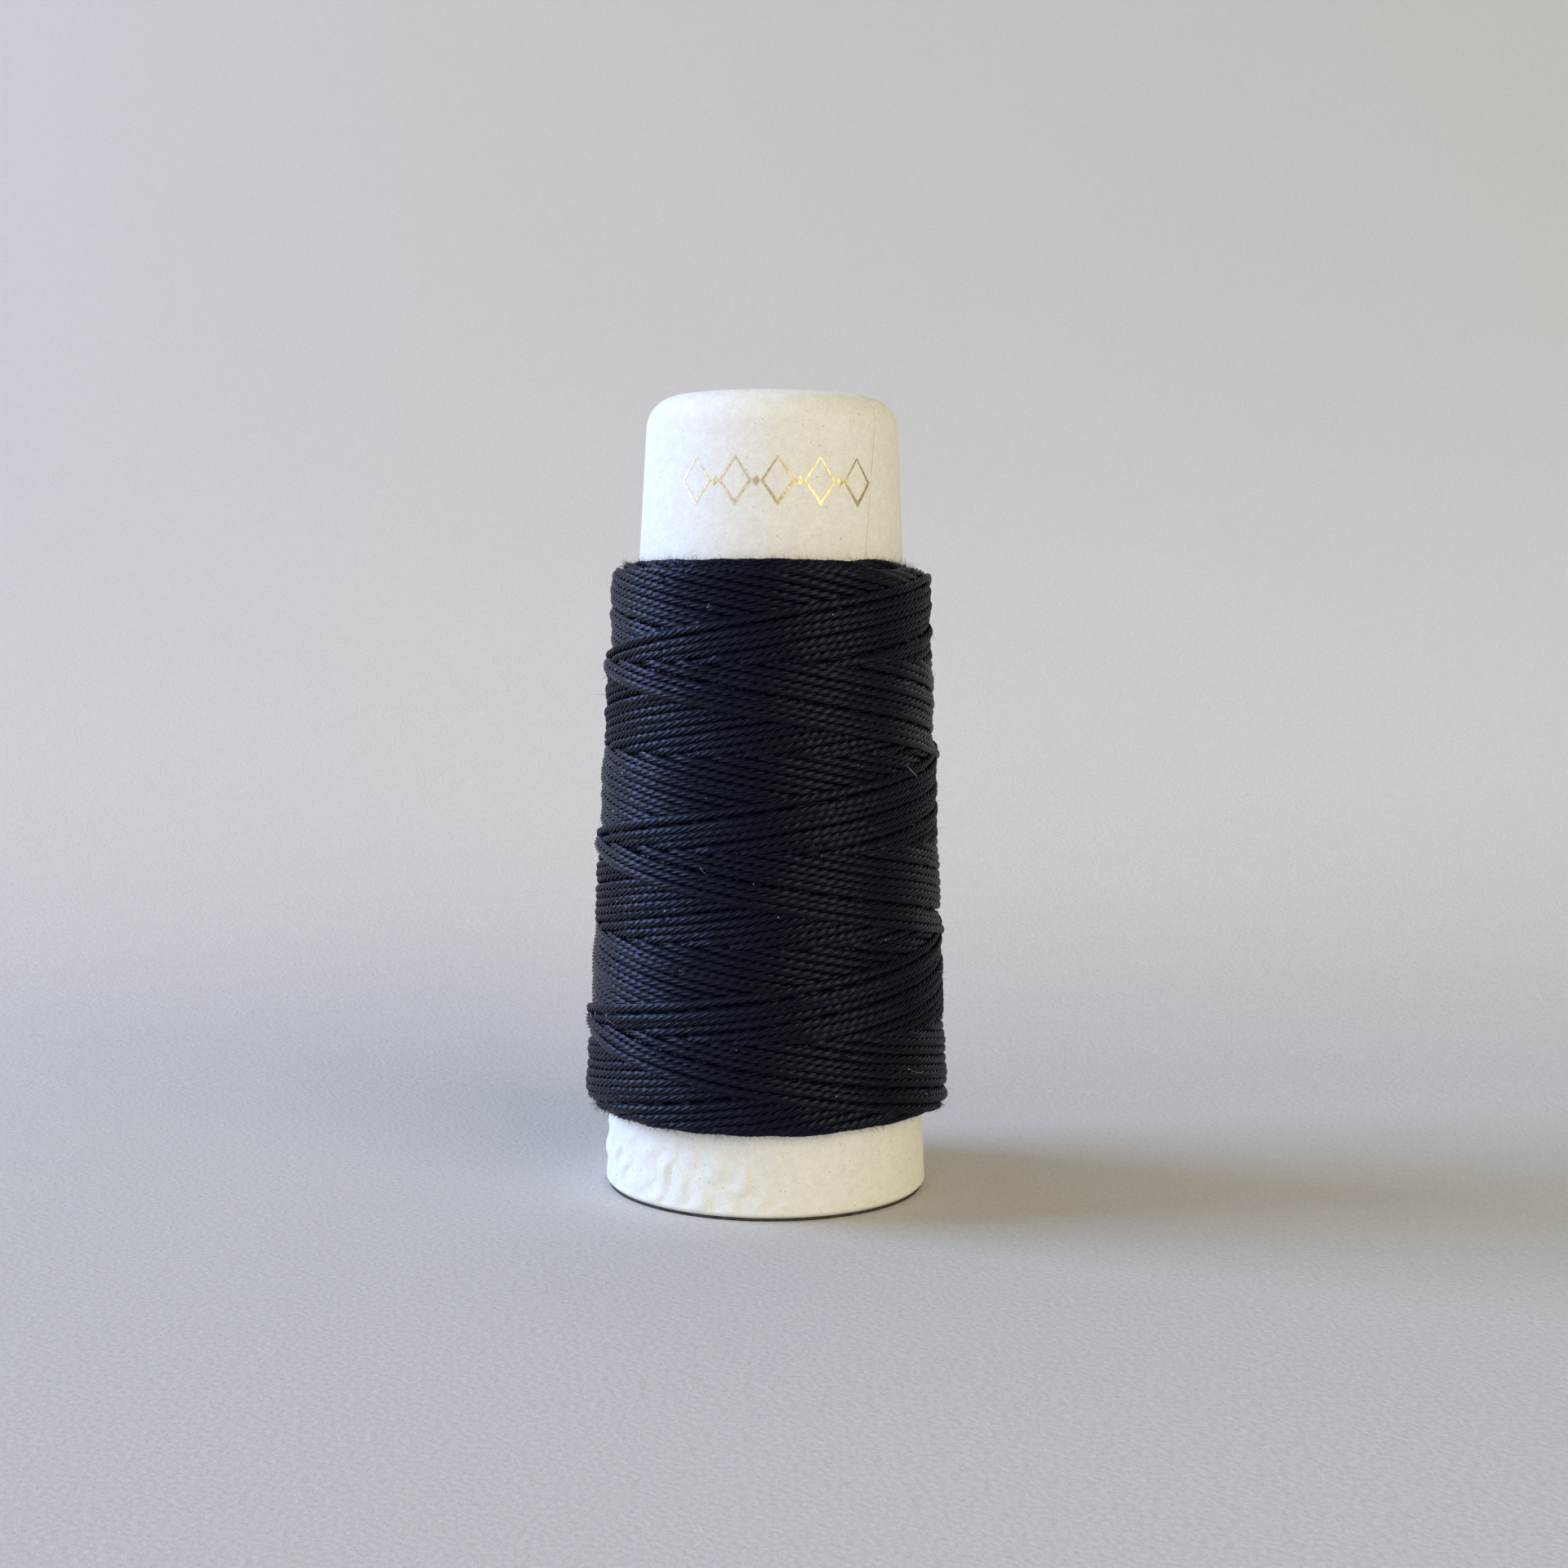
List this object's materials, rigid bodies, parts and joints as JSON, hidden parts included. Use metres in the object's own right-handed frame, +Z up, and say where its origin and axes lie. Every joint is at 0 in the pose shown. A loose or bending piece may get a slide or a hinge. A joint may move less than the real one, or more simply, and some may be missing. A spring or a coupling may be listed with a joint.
{
  "type": "spool of thread",
  "caption": "Cotton hand-sewing thread cross-wound on a small tapered paper cone with a rolled nose and an open bore, standing on its wide end.",
  "frame": {"origin": "centre of the foot ring that the cone stands on", "axes": "+Z up along the cone's axis towards the nose, -Y towards the side with the ornament, +X to the right as seen from that side"},
  "size_m": [0.0322, 0.0322, 0.07],
  "materials": {
    "cover_paper": "matte",
    "grey_board": "matte",
    "kraft_liner": "matte",
    "gold_foil": "gloss",
    "cotton_thread": "matte"
  },
  "bodies": {
    "root": {"cone_cover_paper": "cover_paper", "cone_board": "grey_board", "cone_liner_paper": "kraft_liner", "foil_lozenge_1": "gold_foil", "foil_lozenge_2": "gold_foil", "foil_lozenge_3": "gold_foil", "foil_lozenge_4": "gold_foil", "foil_lozenge_5": "gold_foil", "foil_bead_1": "gold_foil", "foil_bead_2": "gold_foil", "foil_bead_3": "gold_foil", "foil_bead_4": "gold_foil", "thread_first_layers": "cotton_thread", "thread_last_layer": "cotton_thread"}
  },
  "joints": []
}
